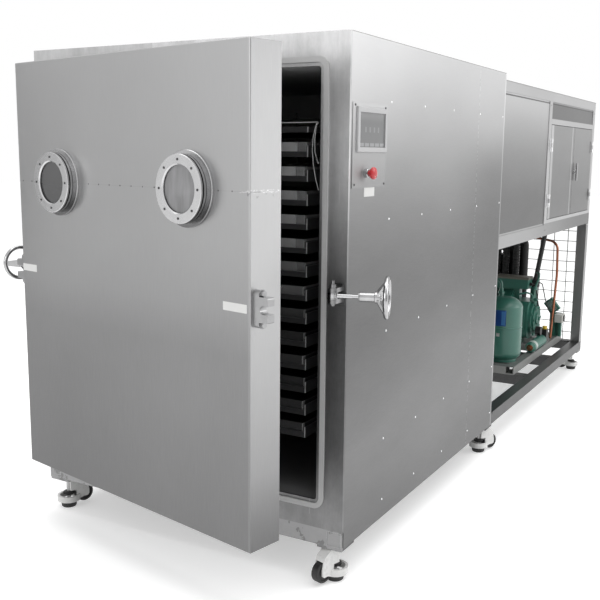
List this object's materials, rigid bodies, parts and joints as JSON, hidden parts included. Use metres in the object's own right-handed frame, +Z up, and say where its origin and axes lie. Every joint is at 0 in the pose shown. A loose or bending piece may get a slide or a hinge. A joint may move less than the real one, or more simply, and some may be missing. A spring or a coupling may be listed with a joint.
{
  "type": "freeze dryer",
  "caption": "Production freeze dryer: satin stainless cabinet with a thick round-windowed door on swing bolts, tray shelves, and an open refrigeration bay on casters.",
  "frame": {"origin": "on the floor at the centre of the front right levelling pad", "axes": "+X to the right seen from the front, +Y towards the machine bay at the back, +Z up"},
  "size_m": [1.6814, 4.0504, 1.835],
  "materials": {
    "satin_stainless": "satin",
    "frame_grey": "satin",
    "seal_rubber": "matte",
    "black_rubber": "matte",
    "tray_dark": "satin",
    "chrome": "polished",
    "glass": "clear",
    "machine_green": "satin",
    "box_grey": "matte",
    "black_hose": "matte",
    "copper": "satin",
    "caster_white": "gloss",
    "screen": "gloss",
    "bezel_silver": "satin",
    "red_button": "gloss",
    "guard_wire": "satin"
  },
  "bodies": {
    "cabinet": {"base_frame": "frame_grey", "upright_frame": "satin_stainless", "caster_plates": "frame_grey", "levelling_feet": "black_rubber", "front_plate": "satin_stainless", "door_seal": "seal_rubber", "chamber_shell": "satin_stainless", "shelf_rack": "tray_dark", "trays": "tray_dark", "cold_trap_coil": "satin_stainless", "right_panels": "satin_stainless", "left_panels": "satin_stainless", "top_panels": "satin_stainless", "bulkhead_panels": "satin_stainless", "end_guard": "guard_wire", "closure_brackets": "chrome", "control_plate": "satin_stainless", "touch_bezel": "bezel_silver", "touch_screen": "screen", "estop_base": "bezel_silver", "electrical_panel": "box_grey", "skid_frame": "frame_grey", "receiver_tank": "machine_green", "compressor_body": "machine_green", "terminal_box": "machine_green", "filter_drier": "machine_green", "suction_pipe": "black_hose", "copper_pipe": "copper", "gauge_stand": "machine_green", "vacuum_pump": "machine_green", "vacuum_hoses": "black_hose"},
    "door": {"door_shell": "satin_stainless", "door_back_plate": "satin_stainless", "sight_flanges": "chrome", "sight_glasses": "glass", "sight_rings": "chrome", "clamp_forks": "chrome", "door_hinge_leaves": "chrome"},
    "right_bolt": {"right_swing_bolt": "chrome"},
    "right_washer": {"right_thrust_washer": "chrome"},
    "right_wheel": {"right_handwheel": "chrome"},
    "left_bolt": {"left_swing_bolt": "chrome"},
    "left_washer": {"left_thrust_washer": "chrome"},
    "left_wheel": {"left_handwheel": "chrome"},
    "estop": {"estop_button": "red_button"},
    "bay_door_a": {"bay_door_front": "satin_stainless"},
    "bay_door_b": {"bay_door_rear": "satin_stainless"},
    "bay_latch": {"bay_door_latch": "chrome"},
    "caster_1": {"caster_body_1": "caster_white"},
    "wheel_1": {"caster_wheel_1": "black_rubber"},
    "caster_2": {"caster_body_2": "caster_white"},
    "wheel_2": {"caster_wheel_2": "black_rubber"},
    "caster_3": {"caster_body_3": "caster_white"},
    "wheel_3": {"caster_wheel_3": "black_rubber"},
    "caster_4": {"caster_body_4": "caster_white"},
    "wheel_4": {"caster_wheel_4": "black_rubber"},
    "caster_5": {"caster_body_5": "caster_white"},
    "wheel_5": {"caster_wheel_5": "black_rubber"},
    "caster_6": {"caster_body_6": "caster_white"},
    "wheel_6": {"caster_wheel_6": "black_rubber"}
  },
  "joints": [
    {"name": "door_hinge", "type": "hinge", "parent": "cabinet", "child": "door", "pos_m": [-1.273, -0.095, 1.012], "axis": [0, 0, -1], "range_deg": [-12.15, 95]},
    {"name": "right_bolt_pivot", "type": "hinge", "parent": "cabinet", "child": "right_bolt", "pos_m": [0.023, -0.095, 1.012], "axis": [0, 0, 1], "range_deg": [-109, 31]},
    {"name": "right_washer_travel", "type": "slide", "parent": "right_bolt", "child": "right_washer", "axis": [0.9455, 0.3256, 0], "range_m": [-0.0055, 0.0055]},
    {"name": "right_wheel_turn", "type": "hinge", "parent": "right_washer", "child": "right_wheel", "pos_m": [0.023, -0.095, 1.012], "axis": [0.9455, 0.3256, 0], "range_deg": [-494.9, 494.9]},
    {"name": "left_bolt_pivot", "type": "hinge", "parent": "cabinet", "child": "left_bolt", "pos_m": [-1.273, -0.095, 1.012], "axis": [0, 0, -1], "range_deg": [-110, 30]},
    {"name": "left_washer_travel", "type": "slide", "parent": "left_bolt", "child": "left_washer", "axis": [-0.9397, 0.342, 0], "range_m": [-0.0055, 0.0055]},
    {"name": "left_wheel_turn", "type": "hinge", "parent": "left_washer", "child": "left_wheel", "pos_m": [-1.273, -0.095, 1.012], "axis": [-0.9397, 0.342, 0], "range_deg": [-494.9, 494.9]},
    {"name": "estop_press", "type": "slide", "parent": "cabinet", "child": "estop", "axis": [-1, 0, 0], "range_m": [0, 0.005]},
    {"name": "bay_door_front_hinge", "type": "hinge", "parent": "cabinet", "child": "bay_door_a", "pos_m": [0.054, 2.4705, 1.36], "axis": [0, 0, -1], "range_deg": [0, 110]},
    {"name": "bay_door_rear_hinge", "type": "hinge", "parent": "cabinet", "child": "bay_door_b", "pos_m": [0.054, 3.5385, 1.36], "axis": [0, 0, 1], "range_deg": [0, 110]},
    {"name": "bay_latch_turn", "type": "hinge", "parent": "bay_door_b", "child": "bay_latch", "pos_m": [0.062, 3.088, 1.361], "axis": [1, 0, 0], "range_deg": [0, 90]},
    {"name": "caster_swivel_1", "type": "hinge", "parent": "cabinet", "child": "caster_1", "pos_m": [-1.25, 0, 0.1], "axis": [0, 0, 1], "continuous": true},
    {"name": "wheel_spin_1", "type": "hinge", "parent": "caster_1", "child": "wheel_1", "pos_m": [-1.22743, 0.06202, 0.0465], "axis": [-0.9397, 0.342, 0], "continuous": true},
    {"name": "caster_swivel_2", "type": "hinge", "parent": "cabinet", "child": "caster_2", "pos_m": [0, 0, 0.1], "axis": [0, 0, 1], "continuous": true},
    {"name": "wheel_spin_2", "type": "hinge", "parent": "caster_2", "child": "wheel_2", "pos_m": [-0.0193, -0.06312, 0.0465], "axis": [0.9563, -0.2924, 0], "continuous": true},
    {"name": "caster_swivel_3", "type": "hinge", "parent": "cabinet", "child": "caster_3", "pos_m": [-1.25, 1.55, 0.1], "axis": [0, 0, 1], "continuous": true},
    {"name": "wheel_spin_3", "type": "hinge", "parent": "caster_3", "child": "wheel_3", "pos_m": [-1.19594, 1.58786, 0.0465], "axis": [-0.5736, 0.8192, 0], "continuous": true},
    {"name": "caster_swivel_4", "type": "hinge", "parent": "cabinet", "child": "caster_4", "pos_m": [0, 1.55, 0.1], "axis": [0, 0, 1], "continuous": true},
    {"name": "wheel_spin_4", "type": "hinge", "parent": "caster_4", "child": "wheel_4", "pos_m": [0.03399, 1.60657, 0.0465], "axis": [-0.8572, 0.515, 0], "continuous": true},
    {"name": "caster_swivel_5", "type": "hinge", "parent": "cabinet", "child": "caster_5", "pos_m": [-1.25, 3.55, 0.1], "axis": [0, 0, 1], "continuous": true},
    {"name": "wheel_spin_5", "type": "hinge", "parent": "caster_5", "child": "wheel_5", "pos_m": [-1.30056, 3.50758, 0.0465], "axis": [0.6428, -0.766, 0], "continuous": true},
    {"name": "caster_swivel_6", "type": "hinge", "parent": "cabinet", "child": "caster_6", "pos_m": [0, 3.55, 0.1], "axis": [0, 0, 1], "continuous": true},
    {"name": "wheel_spin_6", "type": "hinge", "parent": "caster_6", "child": "wheel_6", "pos_m": [-0.06119, 3.52528, 0.0465], "axis": [0.3746, -0.9272, 0], "continuous": true}
  ],
  "couplings": [
    {"joint": "right_washer_travel", "follows": "right_wheel_turn", "m_per_rad": 0.00063662},
    {"joint": "left_washer_travel", "follows": "left_wheel_turn", "m_per_rad": 0.00063662}
  ]
}
